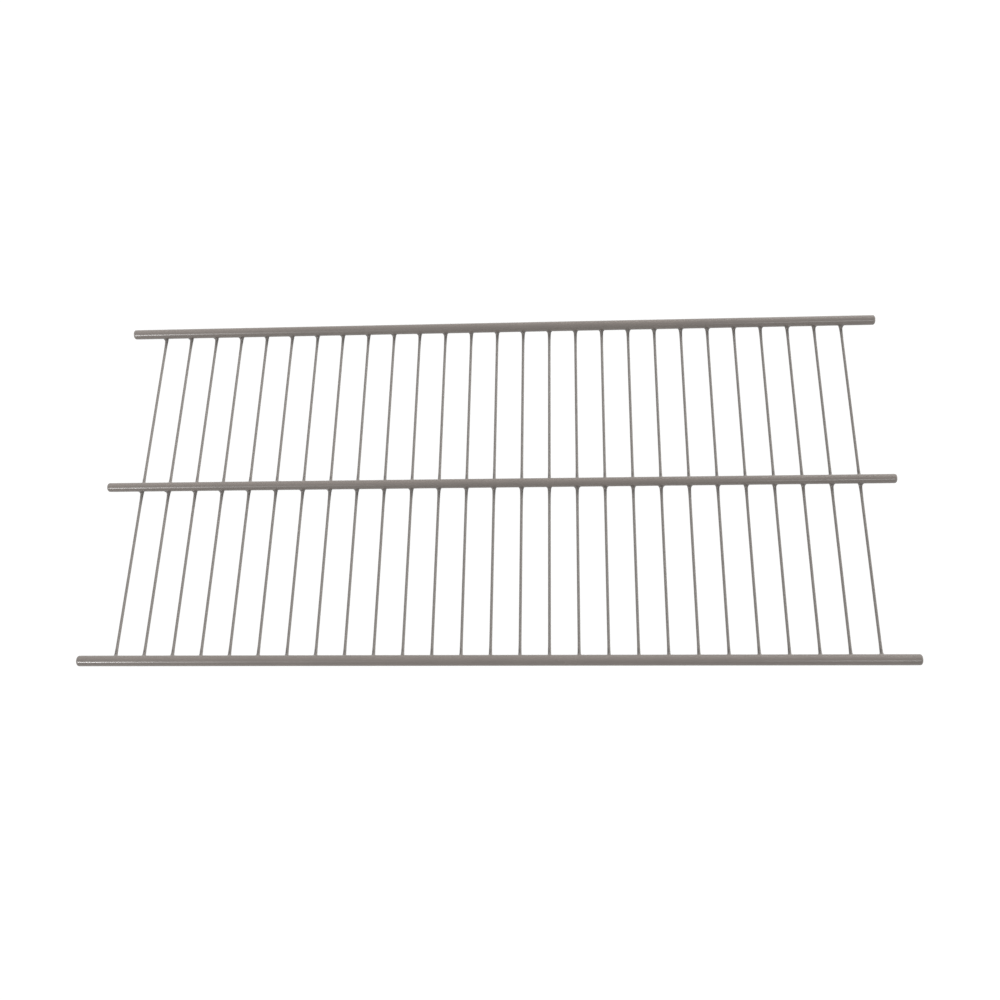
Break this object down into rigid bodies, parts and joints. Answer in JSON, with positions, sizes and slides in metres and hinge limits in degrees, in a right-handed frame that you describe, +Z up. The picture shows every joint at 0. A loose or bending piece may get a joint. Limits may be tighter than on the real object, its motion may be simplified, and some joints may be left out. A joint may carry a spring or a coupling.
{
  "type": "refrigerator wire shelf",
  "caption": "Flat refrigerator shelf of thin deck wires welded under three thicker rods, whose free ends lie on side ledges.",
  "frame": {"origin": "under the shelf's centre, on the plane that the deck wires' undersides rest on", "axes": "+X along the rods to the right, +Y from the front rod to the rear rod, +Z up, from the deck wires to the rods"},
  "size_m": [0.5196, 0.2476, 0.0082],
  "materials": {
    "rod_coating": "semi-gloss taupe-grey coating on steel",
    "wire_coating": "semi-gloss taupe-grey coating on steel wire"
  },
  "bodies": {
    "root": {"front_rod": "rod_coating", "middle_rod": "rod_coating", "rear_rod": "rod_coating", "deck_wire_01": "wire_coating", "deck_wire_02": "wire_coating", "deck_wire_03": "wire_coating", "deck_wire_04": "wire_coating", "deck_wire_05": "wire_coating", "deck_wire_06": "wire_coating", "deck_wire_07": "wire_coating", "deck_wire_08": "wire_coating", "deck_wire_09": "wire_coating", "deck_wire_10": "wire_coating", "deck_wire_11": "wire_coating", "deck_wire_12": "wire_coating", "deck_wire_13": "wire_coating", "deck_wire_14": "wire_coating", "deck_wire_15": "wire_coating", "deck_wire_16": "wire_coating", "deck_wire_17": "wire_coating", "deck_wire_18": "wire_coating", "deck_wire_19": "wire_coating", "deck_wire_20": "wire_coating", "deck_wire_21": "wire_coating", "deck_wire_22": "wire_coating", "deck_wire_23": "wire_coating", "deck_wire_24": "wire_coating", "deck_wire_25": "wire_coating", "deck_wire_26": "wire_coating", "deck_wire_27": "wire_coating"}
  },
  "joints": []
}
